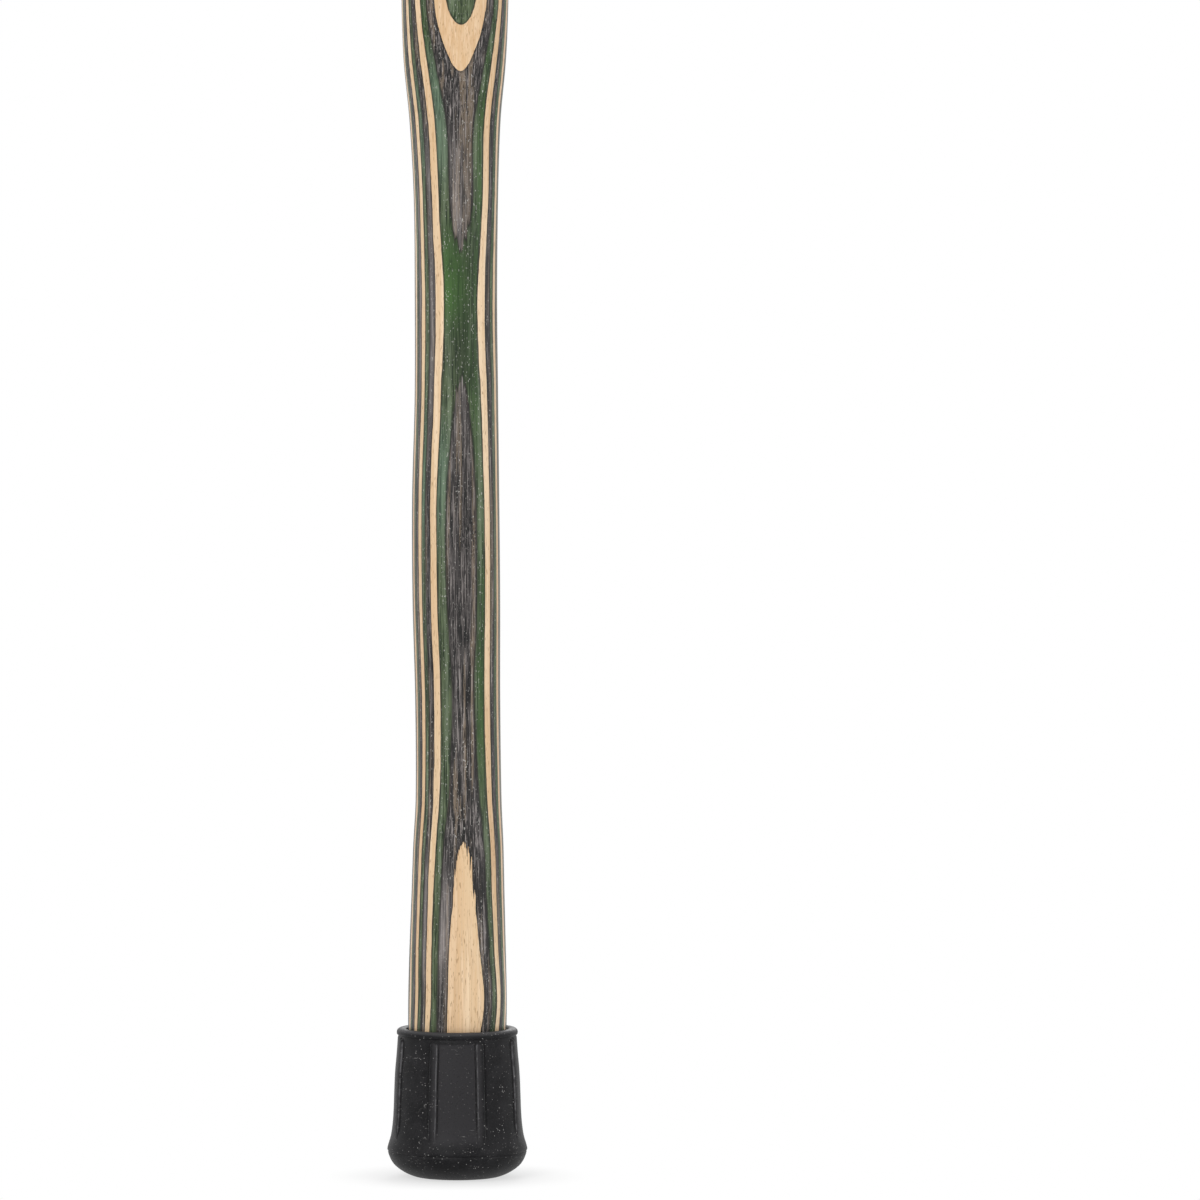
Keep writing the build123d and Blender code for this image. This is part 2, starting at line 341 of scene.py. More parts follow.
def veneerMesh(name, y0, y1):
    # one veneer of the carved staff as closed skins with the staff's own normals
    verts, faces, loopNormals, crossings = [], [], [], []
    for za, zb in veneerRuns(y0, y1):
        zs = ringHeights(za, zb)
        arc = max(angleAt(sectionAt(z), y1) - angleAt(sectionAt(z), y0)
                  for z in zs if staff["tipEnd"] + 2 < z < roundHeight)
        steps = max(2, min(14, int(math.degrees(arc) / 4) + 1))
        rings = []
        for z in zs:
            s = sectionAt(z)
            lo, hi = angleAt(s, y0), angleAt(s, y1)
            ring = {}
            for side in (1, -1):
                row = []
                for j in range(steps + 1):
                    a = lo + (hi - lo) * j / steps
                    x, y = sidePoint(s, a, side)
                    row.append((x, y, z, a))
                ring[side] = row
            skin = {side: [sideNormal(z, p[3], side) for p in ring[side]] for side in (1, -1)}
            pinchedFront = abs(ring[1][0][0] - ring[-1][0][0]) < 1e-4
            pinchedBack = abs(ring[1][-1][0] - ring[-1][-1][0]) < 1e-4
            ids = {1: [], -1: []}
            for side in (1, -1):
                for j, (x, y, zz, a) in enumerate(ring[side]):
                    if side < 0 and ((j == 0 and pinchedFront) or (j == steps and pinchedBack)):
                        ids[side].append(ids[1][j])
                        continue
                    verts.append((x * mm, y * mm, zz * mm))
                    crossings.append(math.hypot(skin[side][j].x, skin[side][j].z))
                    ids[side].append(len(verts) - 1)
            rings.append((z, ring, ids, skin))

        def addFace(corners, normals):
            kept, keptNormals = [], []
            for c, n in zip(corners, normals):
                if c not in kept:
                    kept.append(c)
                    keptNormals.append(n)
            if len(kept) > 2:
                faces.append(kept)
                loopNormals.extend(keptNormals)

        normals = [r[3] for r in rings]
        frontNormal, backNormal = Vector((0, -1, 0)), Vector((0, 1, 0))
        for i in range(len(rings) - 1):
            a, b = rings[i][2], rings[i + 1][2]
            na, nb = normals[i], normals[i + 1]
            for j in range(steps):
                addFace([a[1][j], a[1][j + 1], b[1][j + 1], b[1][j]],
                        [na[1][j], na[1][j + 1], nb[1][j + 1], nb[1][j]])
                addFace([a[-1][j + 1], a[-1][j], b[-1][j], b[-1][j + 1]],
                        [na[-1][j + 1], na[-1][j], nb[-1][j], nb[-1][j + 1]])
            addFace([a[-1][0], a[1][0], b[1][0], b[-1][0]], [frontNormal] * 4)
            addFace([a[1][-1], a[-1][-1], b[-1][-1], b[1][-1]], [backNormal] * 4)
        for k, up in ((0, -1), (len(rings) - 1, 1)):
            ids = rings[k][2]
            loop = ids[1] + ids[-1][::-1]
            loop = loop if up > 0 else loop[::-1]
            addFace(loop, [Vector((0, 0, up))] * len(loop))
    mesh = bpy.data.meshes.new(name)
    mesh.from_pydata(verts, [], faces)
    mesh.validate(verbose=False)
    mesh.polygons.foreach_set("use_smooth", [True] * len(mesh.polygons))
    mesh.attributes.new("crossing", "FLOAT", "POINT").data.foreach_set("value", crossings)
    if len(mesh.loops) == len(loopNormals):
        mesh.normals_split_custom_set([tuple(n) for n in loopNormals])
    else:
        print("  normals left to Blender on", name)
    mesh.update()
    return mesh


wood = {
    "natural": srgb(226, 196, 157),
    "naturalPale": srgb(238, 212, 178),
    "naturalWarm": srgb(206, 162, 114),
    "pore": srgb(140, 100, 62),
    "green": srgb(98, 112, 79),
    "greenDark": srgb(24, 40, 18),
    "greenLight": srgb(126, 140, 112),
    "greenRich": srgb(60, 98, 40),
    # pale green of the painted reflection on the left flank
    "greenPaintedReflection": srgb(108, 134, 114),
    "grey": srgb(74, 69, 68),
    "greyDark": srgb(16, 15, 15),
    "greyLight": srgb(160, 152, 149),
    # pale grey of the painted light over the grip
    "greyPaintedLight": srgb(142, 134, 138),
    "ring": srgb(224, 176, 126),
    "greyWarm": srgb(132, 116, 98),
    "glue": srgb(22, 18, 15),
    "fleck": srgb(196, 194, 188),
    "glueHalf": 0.14,          # half the width of a dark glue line
    "drift": 0.14,             # slow, middle and fine straying of the glue planes
    "ripple": 0.3,
    "feather": 0.32,
    "fibre": 0.2,
    # where the fibres tore: middle, radius, extra straying
    "torn": [((1.7, -12.6, 84.0), 9.0, 0.3), ((0.0, -11.2, 216.0), 8.0, 0.25), ((0.0, -11.2, 256.0), 7.0, 0.25)],
    # knots: middle in millimetres, then radius
    "knots": [(-3.9, 12.4, 851.0, 5.5), (-3.4, -11.4, 247.0, 1.6), (2.0, -13.0, 1010.0, 2.2),
              (1.6, -11.9, 175.0, 4.2)],
    # where the dye or the wood is richer, a pale painted reflection on the left flank, and painted light over the grip:
    # sheet kind, middle, radius, colour, strength
    "tones": [("natural", (1.0, -14.0, 306.0), 22.0, "naturalWarm", 0.42),
              ("green", (-3.5, -11.3, 243.0), 7.0, "greenRich", 0.9),
              ("green", (0.5, -11.0, 253.0), 7.0, "greenDark", 0.5),
              ("green", (0.5, -11.0, 226.0), 7.0, "greenDark", 0.6),
              # painted reflection: the green and grey on the left flank turn pale
              ("green", (-8.5, -10.0, 286.0), 9.0, "greenPaintedReflection", 0.5),
              ("green", (-8.5, -8.5, 190.0), 9.5, "greenPaintedReflection", 0.5),
              ("grey", (-11.5, -7.0, 240.0), 22.0, "greyLight", 0.45),
              ("grey", (-8.5, -9.5, 70.0), 9.0, "greyLight", 0.55),
              # painted light: the grey and green over the grip turn paler
              ("grey", (0.0, 10.0, 860.0), 150.0, "greyPaintedLight", 0.34),
              ("green", (0.0, 10.0, 860.0), 150.0, "greenLight", 0.22)],
    "warmSheet": 20,           # counted from the front, from 0
}


def placeOf(tree, point, middle, stretch):
    # distance from a spot, with the height squeezed
    offset = tree.nodes.new("ShaderNodeVectorMath")
    offset.operation = "SUBTRACT"
    link(tree, point, offset.inputs[0])
    offset.inputs[1].default_value = middle
    shape = tree.nodes.new("ShaderNodeVectorMath")
    shape.operation = "MULTIPLY"
    link(tree, offset.outputs[0], shape.inputs[0])
    shape.inputs[1].default_value = (1, 1, stretch)
    length = tree.nodes.new("ShaderNodeVectorMath")
    length.operation = "LENGTH"
    link(tree, shape.outputs[0], length.inputs[0])
    return length.outputs["Value"]


def veneerGroup():
    # colour, grain height and gloss of the stack of veneers at a point of the block
    tree = bpy.data.node_groups.new("stackedVeneers", "ShaderNodeTree")
    tree.interface.new_socket("Color", in_out="OUTPUT", socket_type="NodeSocketColor")
    tree.interface.new_socket("Height", in_out="OUTPUT", socket_type="NodeSocketFloat")
    tree.interface.new_socket("Roughness", in_out="OUTPUT", socket_type="NodeSocketFloat")
    out = tree.nodes.new("NodeGroupOutput")
    coords = tree.nodes.new("ShaderNodeTexCoord")
    point = scaled(tree, coords.outputs["Object"], (1000, 1000, 1000))
    axes = tree.nodes.new("ShaderNodeSeparateXYZ")
    link(tree, point, axes.inputs[0])

    # where the point lies in the stack, with glue planes that stray and fibres that tear
    y = axes.outputs["Y"]
    crossing = addNode(tree, "ShaderNodeAttribute", attribute_name="crossing").outputs["Fac"]
    steep = doMath(tree, "MAXIMUM", crossing, 0.07)
    for stretch, offset, detail, amount, share in (
            ((0.05, 0.03, 0.012), (3, 1, 2), 1.0, wood["drift"], 1.0),
            ((0.3, 0.25, 0.06), (8, 5, 7), 2.0, wood["ripple"], doMath(tree, "SQRT", steep)),
            ((1.5, 1.2, 0.05), (7, 3, 1), 2.0, wood["feather"], steep),
            ((4.5, 3.6, 0.14), (2, 9, 4), 1.0, wood["fibre"], steep)):
        stray = noise(tree, scaled(tree, point, stretch, offset), 1.0, detail, 0.5)
        stray = doMath(tree, "MULTIPLY", doMath(tree, "SUBTRACT", stray, 0.5), amount)
        y = doMath(tree, "ADD", y, stray if share == 1.0 else doMath(tree, "MULTIPLY", stray, share))
    tear = noise(tree, scaled(tree, point, (1.9, 1.2, 0.07), (7, 3, 1)), 1.0, 2.0, 0.55)
    for middle, radius, amount in wood["torn"]:
        spot = ramp(tree, placeOf(tree, point, middle, 0.7), radius * 0.4, radius, amount, 0.0)
        y = doMath(tree, "MULTIPLY_ADD", doMath(tree, "SUBTRACT", tear, 0.5), doMath(tree, "MULTIPLY", spot, 2.0), y)
    dyed, natural = staff["dyedVeneer"], staff["naturalVeneer"]
    period = 2 * dyed + natural
    turns = doMath(tree, "DIVIDE", doMath(tree, "SUBTRACT", y, staff["blankFront"]), period)
    number = doMath(tree, "FLOOR", turns)
    place = doMath(tree, "MULTIPLY", doMath(tree, "FRACT", turns), period)
    soft = doMath(tree, "MULTIPLY_ADD", steep, 0.05, 0.015)

    def past(height):
        # 0 before a glue plane, 1 behind it
        step = doMath(tree, "DIVIDE", doMath(tree, "SUBTRACT", place, height), soft)
        return doMath(tree, "MULTIPLY_ADD", step, 0.5, 0.5, clamp=True)

    pastGrey, pastGreen = past(dyed), past(2 * dyed)

    # dark glue between the sheets, and dye that gathers beside it
    half = doMath(tree, "MULTIPLY", steep, wood["glueHalf"])
    inset = doMath(tree, "MULTIPLY", half, 0.7)
    toLine = doMath(tree, "SUBTRACT", place, dyed)
    for edge in (doMath(tree, "SUBTRACT", 2 * dyed, inset), inset, doMath(tree, "ADD", inset, period)):
        toLine = doMath(tree, "MINIMUM", doMath(tree, "ABSOLUTE", toLine),
                        doMath(tree, "ABSOLUTE", doMath(tree, "SUBTRACT", place, edge)))
    toLine = doMath(tree, "DIVIDE", toLine, half)
    gluePatch = noise(tree, scaled(tree, point, (0.5, 0.5, 0.06), (5, 5, 5)), 1.0, 2.0)
    line = ramp(tree, toLine, 0.25, 1.0, 1.0, 0.0)
    line = doMath(tree, "MULTIPLY", line, ramp(tree, gluePatch, 0.3, 0.62, 0.5, 0.95))
    besideLine = ramp(tree, toLine, 0.6, 5.0, 1.0, 0.0)

    # every sheet has its own grain: the pattern jumps from sheet to sheet
    kind = doMath(tree, "ADD", pastGrey, pastGreen)
    sheet = doMath(tree, "ROUND", doMath(tree, "MULTIPLY_ADD", number, 3.0, kind))
    jump = tree.nodes.new("ShaderNodeCombineXYZ")
    link(tree, doMath(tree, "MULTIPLY", sheet, 13.7), jump.inputs["X"])
    link(tree, doMath(tree, "MULTIPLY", sheet, 7.1), jump.inputs["Y"])
    link(tree, doMath(tree, "MULTIPLY", sheet, 41.3), jump.inputs["Z"])
    own = tree.nodes.new("ShaderNodeVectorMath")
    own.operation = "ADD"
    link(tree, point, own.inputs[0])
    link(tree, jump.outputs[0], own.inputs[1])
    own = own.outputs[0]
    lot = addNode(tree, "ShaderNodeTexWhiteNoise", noise_dimensions="1D")
    link(tree, sheet, lot.inputs["W"])
    lot = lot.outputs["Value"]

    patch = noise(tree, scaled(tree, own, (0.09, 0.12, 0.006)), 1.0, 2.0, 0.5, 0.2)
    broad = noise(tree, scaled(tree, own, (0.75, 0.75, 0.016)), 1.0, 2.0, 0.5, 0.3)
    grain = noise(tree, scaled(tree, own, (2.7, 2.7, 0.055), (0, 0, 9)), 1.0, 3.0, 0.6, 0.2)
    fine = noise(tree, scaled(tree, own, (5.0, 5.0, 0.13)), 1.0, 3.0, 0.7)
    blot = noise(tree, scaled(tree, own, (0.5, 0.5, 0.12), (6, 2, 4)), 1.0, 3.0, 0.6, 0.8)
    tick = noise(tree, scaled(tree, own, (4.0, 4.0, 0.5)), 1.0, 1.0, 0.4)
    dot = noise(tree, scaled(tree, own, (3.2, 3.2, 1.3), (4, 0, 2)), 1.0, 1.0, 0.5)
    pores = ramp(tree, tick, 0.64, 0.7)
    # thin dark grain lines run where a slow pattern crosses its middle value
    seam = doMath(tree, "ABSOLUTE", doMath(tree, "SUBTRACT", broad, 0.5))
    seam = ramp(tree, seam, 0.008, 0.045, 1.0, 0.0)
    seam = doMath(tree, "MULTIPLY", seam, ramp(tree, patch, 0.4, 0.55, 0.35, 1.0))

    # knots: short dashes that cross the grain, in a small round patch
    knot = None
    for x, yy, z, radius in wood["knots"]:
        spot = ramp(tree, placeOf(tree, point, (x, yy, z), 0.6), radius * 0.45, radius, 1.0, 0.0)
        knot = spot if knot is None else doMath(tree, "MAXIMUM", knot, spot)
    dash = noise(tree, scaled(tree, point, (1.6, 1.6, 0.75), (1, 4, 0)), 1.0, 3.0, 0.7, 0.6)
    knot = doMath(tree, "MULTIPLY", knot, ramp(tree, dash, 0.5, 0.62))

    # natural birch
    birch = mixColor(tree, ramp(tree, broad, 0.38, 0.6), wood["naturalPale"], wood["natural"])
    birch = mixColor(tree, ramp(tree, patch, 0.45, 0.72, 0.0, 0.5), birch, wood["naturalWarm"])
    birch = mixColor(tree, ramp(tree, grain, 0.5, 0.66, 0.0, 0.32), birch, wood["naturalWarm"])
    birch = mixColor(tree, ramp(tree, fine, 0.5, 0.72, 0.0, 0.3), birch, wood["naturalWarm"])
    birch = mixColor(tree, doMath(tree, "MULTIPLY", seam, 0.16), birch, wood["pore"])
    birch = mixColor(tree, doMath(tree, "MULTIPLY", pores, 0.6), birch, wood["pore"])

    # green dye takes unevenly along the grain
    green = mixColor(tree, ramp(tree, grain, 0.4, 0.52), wood["greenDark"], wood["green"])
    green = mixColor(tree, ramp(tree, patch, 0.48, 0.64, 0.0, 0.8), green, wood["greenRich"])
    green = mixColor(tree, ramp(tree, broad, 0.5, 0.62, 0.0, 0.75), green, wood["greenLight"])
    green = mixColor(tree, ramp(tree, grain, 0.54, 0.66, 0.0, 0.6), green, wood["greenLight"])
    green = mixColor(tree, ramp(tree, fine, 0.37, 0.49, 0.6, 0.0), green, wood["greenDark"])
    green = mixColor(tree, ramp(tree, blot, 0.54, 0.68, 0.0, 0.45), green, wood["greenDark"])
    green = mixColor(tree, doMath(tree, "MULTIPLY", seam, 0.7), green, wood["greenDark"])
    green = mixColor(tree, ramp(tree, lot, 0.0, 1.0, 0.3, 0.0, smooth=False), green, wood["greenDark"])

    # grey dye shows the strongest streaks
    grey = mixColor(tree, ramp(tree, grain, 0.42, 0.54), wood["greyDark"], wood["grey"])
    grey = mixColor(tree, ramp(tree, broad, 0.51, 0.6, 0.0, 0.8), grey, wood["greyWarm"])
    grey = mixColor(tree, ramp(tree, grain, 0.53, 0.64, 0.0, 0.8), grey, wood["greyLight"])
    grey = mixColor(tree, ramp(tree, fine, 0.4, 0.5, 0.85, 0.0), grey, wood["greyDark"])
    grey = mixColor(tree, ramp(tree, fine, 0.54, 0.64, 0.0, 0.5), grey, wood["greyLight"])
    grey = mixColor(tree, ramp(tree, patch, 0.3, 0.5, 0.45, 0.0), grey, wood["greyDark"])
    grey = mixColor(tree, doMath(tree, "MULTIPLY", seam, 0.9), grey, wood["greyDark"])
    grey = mixColor(tree, doMath(tree, "MULTIPLY", pores, 0.7), grey, wood["greyDark"])

    toned = {"natural": birch, "green": green, "grey": grey}
    # some spots are painted light: a pale painted reflection on the left flank, and painted light over the grip
    for kindOf, middle, radius, colour, strength in wood["tones"]:
        spot = ramp(tree, placeOf(tree, point, middle, 0.35), radius * 0.3, radius, strength, 0.0)
        spot = doMath(tree, "MULTIPLY", spot, ramp(tree, grain, 0.36, 0.56, 0.45, 1.0))
        toned[kindOf] = mixColor(tree, spot, toned[kindOf], wood[colour])
    birch, green, grey = toned["natural"], toned["green"], toned["grey"]
    warm = doMath(tree, "COMPARE", sheet, wood["warmSheet"], 0.5)
    birch = mixColor(tree, doMath(tree, "MULTIPLY", warm, ramp(tree, grain, 0.35, 0.6, 0.15, 0.8)), birch, wood["ring"])
    birch = mixColor(tree, doMath(tree, "MULTIPLY", knot, 0.8), birch, wood["pore"])
    green = mixColor(tree, knot, green, wood["greenDark"])
    grey = mixColor(tree, knot, grey, wood["greyDark"])

    dyedWood = mixColor(tree, pastGrey, grey, green)
    flecks = doMath(tree, "MULTIPLY", ramp(tree, dot, 0.66, 0.72), ramp(tree, broad, 0.4, 0.6, 0.3, 0.8))
    dyedWood = mixColor(tree, flecks, dyedWood, wood["fleck"])
    dyedWood = mixColor(tree, doMath(tree, "MULTIPLY", besideLine, 0.6), dyedWood, wood["glue"])
    color = mixColor(tree, pastGreen, dyedWood, birch)
    color = mixColor(tree, line, color, wood["glue"])
    link(tree, color, out.inputs["Color"])
    height = doMath(tree, "MULTIPLY_ADD", fine, 0.5, doMath(tree, "MULTIPLY", grain, 0.5))
    height = doMath(tree, "SUBTRACT", height, doMath(tree, "MULTIPLY", pores, 0.6))
    height = doMath(tree, "SUBTRACT", height, doMath(tree, "MULTIPLY", line, 0.4))
    link(tree, height, out.inputs["Height"])
    rough = doMath(tree, "MULTIPLY_ADD", fine, 0.2, 0.36)
    link(tree, rough, out.inputs["Roughness"])
    return tree


def veneerMaterial(name, group):
    material = bpy.data.materials.new(name)
    material.use_nodes = True
    tree = material.node_tree
    shader = tree.nodes["Principled BSDF"]
    look = tree.nodes.new("ShaderNodeGroup")
    look.node_tree = group
    link(tree, look.outputs["Color"], shader.inputs["Base Color"])
    link(tree, look.outputs["Roughness"], shader.inputs["Roughness"])
    bump = addNode(tree, "ShaderNodeBump", Strength=0.25, Distance=0.00008)
    link(tree, look.outputs["Height"], bump.inputs["Height"])
    link(tree, bump.outputs["Normal"], shader.inputs["Normal"])
    shader.inputs["Specular IOR Level"].default_value = 0.25
    shader.inputs["Coat Weight"].default_value = 0.12
    shader.inputs["Coat Roughness"].default_value = 0.25
    shader.inputs["Sheen Weight"].default_value = 0.12
    shader.inputs["Sheen Roughness"].default_value = 0.4
    return material


stackLook = veneerGroup()
veneerLooks = {
    "grey": veneerMaterial("greyVeneer", stackLook),
    "green": veneerMaterial("greenVeneer", stackLook),
    "natural": veneerMaterial("naturalVeneer", stackLook),
}

kinds = (("grey", staff["dyedVeneer"]), ("green", staff["dyedVeneer"]), ("natural", staff["naturalVeneer"]))
front = staff["blankFront"]
veneerCount = 0
for n in range(3 * staff["threes"]):
    kind, thickness = kinds[n % 3]
    node = f"ply_{n + 1:02d}_{kind}"
    mesh = veneerMesh(f"veneer{n + 1:02d}", front, front + thickness)
    mesh.materials.append(veneerLooks[kind])
    piece = bpy.data.objects.new(f"veneer{n + 1:02d}_{kind}", mesh)
    scene.collection.objects.link(piece)
    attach(piece, "shaft")
    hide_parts(node)
    veneerCount += len(mesh.polygons)
    front += thickness
print("veneers carved:", veneerCount, "faces")


# rubber ferrule
ferrule = {
    "rimHeight": 40.5,
    "boreRadius": 12.75,
    "boreFloor": 8.0,
    "sectors": 384,
    "ribs": 8,
    "ribWidth": 2.1,
    "ribHeight": 0.5,
    "ribTop": 37.9,
    "ribFoot": 10.5,
    "turn": -8.0,              # how the ribs stand round the axis, degrees
    "gutter": 0.24,            # shallow line on either side of a rib
    "rubber": srgb(15, 15, 17),
    "panel": srgb(45, 44, 46),
    # pale for the rim's top and for the painted highlight on the rib edges
    "wearAndHighlight": srgb(98, 97, 99),
    # dark for dirt in the skin and for the painted shade beside the ribs
    "dirtAndShade": srgb(8, 8, 9),
    "dust": srgb(168, 166, 164),
}

# half section of the rubber, radius and height, from the tread's middle to the bore's floor
treadEdge = [(0.0, 0.0), (3.4, 0.0), (3.75, 0.75), (3.95, 0.9), (4.65, 0.9), (4.85, 0.75), (5.2, 0.0),
             (6.4, 0.0), (6.75, 0.75), (6.95, 0.9), (7.65, 0.9), (7.85, 0.75), (8.2, 0.0), (9.0, 0.0)]
domeEdge = [(9.0, 0.0), (10.3, 0.07), (11.6, 0.28), (13.2, 0.85), (14.6, 1.55), (15.9, 2.4), (16.8, 3.15),
            (17.6, 4.1), (18.2, 5.2), (18.6, 6.2)]
lipEdge = [(18.76, 6.9), (18.62, 7.0), (18.6, 7.15), (18.8, 7.3), (18.93, 7.5), (18.93, 7.85)]
sideEdge = [(18.8, 8.45), (18.5, 9.5), (18.15, 10.6), (17.85, 12.0), (17.6, 13.8), (17.4, 15.8),
            (17.25, 18.3), (17.15, 21.0), (17.05, 24.0), (16.93, 27.0), (16.75, 29.8), (16.5, 32.5),
            (16.3, 35.0), (16.1, 38.0)]
collarEdge = [(15.98, 38.3), (15.9, 38.45), (15.9, 38.6), (16.15, 38.72), (16.34, 38.95), (16.38, 39.4),
              (16.3, 39.85), (16.08, 40.15), (15.75, 40.38), (15.3, 40.48), (14.6, 40.5), (14.1, 40.46),
              (13.8, 40.3), (13.66, 40.0), (13.65, 39.2), (12.75, 38.3), (12.75, 8.0), (0.0, 8.0)]


def fillIn(points, step):
    # a smooth line through the points, with a point every step millimetres
    line = []
    for i in range(len(points) - 1):
        p1, p2 = points[i], points[i + 1]
        p0, p3 = points[max(i - 1, 0)], points[min(i + 2, len(points) - 1)]
        count = max(1, round(math.dist(p1, p2) / step))
        for n in range(count):
            t = n / count
            line.append(tuple(0.5 * (2 * b + (c - a) * t + (2 * a - 5 * b + 4 * c - d) * t * t
                                     + (3 * b - a - 3 * c + d) * t ** 3)
                              for a, b, c, d in zip(p0, p1, p2, p3)))
    return line + [points[-1]]


def profileObject():
    line = treadEdge[:-1] + fillIn(domeEdge + lipEdge[:1], 0.8)[:-1] + lipEdge
    line += fillIn(sideEdge, 0.55) + collarEdge
    mesh = bpy.data.meshes.new("ferruleProfile")
    mesh.from_pydata([(r * mm, 0, z * mm) for r, z in line], [(i, i + 1) for i in range(len(line) - 1)], [])
    made = bpy.data.objects.new("ferruleProfile", mesh)
    scene.collection.objects.link(made)
    return made, len(line)


def ferruleTree(profile, rows, material):
    # a grid wrapped round the axis: each column of it is the half section, and its radius is
    # lifted where a rib stands
    tree = bpy.data.node_groups.new("mouldedFerrule", "GeometryNodeTree")
    face = tree.interface
    face.new_socket("Geometry", in_out="INPUT", socket_type="NodeSocketGeometry")
    sizes = {}
    for label, kind in (("Sectors", "Int"), ("Rows", "Int"), ("Rib Count", "Int"), ("First Rib Angle", "Float"),
                        ("Rib Width", "Float"), ("Rib Height", "Float"), ("Rib Top", "Float"),
                        ("Rib Foot", "Float"), ("Gutter Depth", "Float")):
        sizes[label] = face.new_socket(label, in_out="INPUT", socket_type="NodeSocket" + kind).identifier
    face.new_socket("Geometry", in_out="OUTPUT", socket_type="NodeSocketGeometry")
    inp = tree.nodes.new("NodeGroupInput")
    out = tree.nodes.new("NodeGroupOutput")
    give = inp.outputs

    grid = tree.nodes.new("GeometryNodeMeshGrid")
    link(tree, doMath(tree, "ADD", give["Sectors"], 1), grid.inputs["Vertices X"])
    link(tree, give["Rows"], grid.inputs["Vertices Y"])
    index = tree.nodes.new("GeometryNodeInputIndex").outputs[0]
    column = doMath(tree, "FLOOR", doMath(tree, "DIVIDE", doMath(tree, "ADD", index, 0.5), give["Rows"]))
    row = doMath(tree, "SUBTRACT", index, doMath(tree, "MULTIPLY", column, give["Rows"]))
    source = tree.nodes.new("GeometryNodeObjectInfo")
    source.inputs["Object"].default_value = profile
    sample = tree.nodes.new("GeometryNodeSampleIndex")
    sample.data_type = "FLOAT_VECTOR"
    place = tree.nodes.new("GeometryNodeInputPosition").outputs[0]
    link(tree, source.outputs["Geometry"], sample.inputs["Geometry"])
    link(tree, place, sample.inputs["Value"])
    link(tree, row, sample.inputs["Index"])
    at = tree.nodes.new("ShaderNodeSeparateXYZ")
    link(tree, sample.outputs["Value"], at.inputs[0])
    radius, height = at.outputs["X"], at.outputs["Z"]

    # sectors crowd together near each rib
    spacing = doMath(tree, "DIVIDE", 2 * math.pi, give["Rib Count"])
    turns = doMath(tree, "DIVIDE", doMath(tree, "MULTIPLY", column, give["Rib Count"]), give["Sectors"])
    whole = doMath(tree, "ROUND", turns)
    part = doMath(tree, "SUBTRACT", turns, whole)
    cube = doMath(tree, "MULTIPLY", doMath(tree, "MULTIPLY", part, part), part)
    part = doMath(tree, "MULTIPLY_ADD", part, 0.34, doMath(tree, "MULTIPLY", cube, 2.64))
    fromRib = doMath(tree, "MULTIPLY", part, spacing)
    angle = doMath(tree, "ADD", doMath(tree, "MULTIPLY_ADD", whole, spacing, give["First Rib Angle"]), fromRib)

    # a rib's outline is a bar with a round upper end; its foot fades into the flare
    half = doMath(tree, "MULTIPLY", give["Rib Width"], 0.5)
    across = doMath(tree, "ABSOLUTE", doMath(tree, "MULTIPLY", fromRib, radius))
    above = doMath(tree, "SUBTRACT", height, doMath(tree, "SUBTRACT", give["Rib Top"], half))
    above = doMath(tree, "MAXIMUM", above, 0.0)
    reach = doMath(tree, "SQRT", doMath(tree, "ADD", doMath(tree, "MULTIPLY", across, across),
                                        doMath(tree, "MULTIPLY", above, above)))
    beyond = doMath(tree, "SUBTRACT", reach, half)
    bar = ramp(tree, beyond, -0.22 * mm, 0.03 * mm, 1.0, 0.0)
    gutter = doMath(tree, "ABSOLUTE", doMath(tree, "SUBTRACT", beyond, 0.3 * mm))
    gutter = ramp(tree, gutter, 0.04 * mm, 0.26 * mm, 1.0, 0.0)
    lift = doMath(tree, "SUBTRACT", doMath(tree, "MULTIPLY", bar, give["Rib Height"]),
                  doMath(tree, "MULTIPLY", gutter, give["Gutter Depth"]))
    fade = tree.nodes.new("ShaderNodeMapRange")
    fade.interpolation_type = "SMOOTHSTEP"
    link(tree, height, fade.inputs["Value"])
    link(tree, give["Rib Foot"], fade.inputs["From Min"])
    link(tree, doMath(tree, "ADD", give["Rib Foot"], 4.0 * mm), fade.inputs["From Max"])
    outside = doMath(tree, "GREATER_THAN", radius, 15.5 * mm)
    lift = doMath(tree, "MULTIPLY", lift, doMath(tree, "MULTIPLY", fade.outputs["Result"], outside))
    radius = doMath(tree, "ADD", radius, lift)

    wrapped = tree.nodes.new("ShaderNodeCombineXYZ")
    link(tree, doMath(tree, "MULTIPLY", radius, doMath(tree, "COSINE", angle)), wrapped.inputs["X"])
    link(tree, doMath(tree, "MULTIPLY", radius, doMath(tree, "SINE", angle)), wrapped.inputs["Y"])
    link(tree, height, wrapped.inputs["Z"])
    keep = tree.nodes.new("GeometryNodeStoreNamedAttribute")
    keep.inputs["Name"].default_value = "beyondRib"
    link(tree, grid.outputs["Mesh"], keep.inputs["Geometry"])
    link(tree, beyond, keep.inputs["Value"])
    put = tree.nodes.new("GeometryNodeSetPosition")
    link(tree, keep.outputs["Geometry"], put.inputs["Geometry"])
    link(tree, wrapped.outputs[0], put.inputs["Position"])
    close = tree.nodes.new("GeometryNodeMergeByDistance")
    link(tree, put.outputs[0], close.inputs["Geometry"])
    close.inputs["Distance"].default_value = 0.000002
    smooth = tree.nodes.new("GeometryNodeSetShadeSmooth")
    link(tree, close.outputs[0], smooth.inputs["Geometry"])
    real = tree.nodes.new("GeometryNodeRealizeInstances")
    link(tree, smooth.outputs[0], real.inputs[0])
    paint = tree.nodes.new("GeometryNodeSetMaterial")
    paint.inputs["Material"].default_value = material
    link(tree, real.outputs[0], paint.inputs["Geometry"])
    link(tree, paint.outputs[0], out.inputs[0])
    return tree, sizes


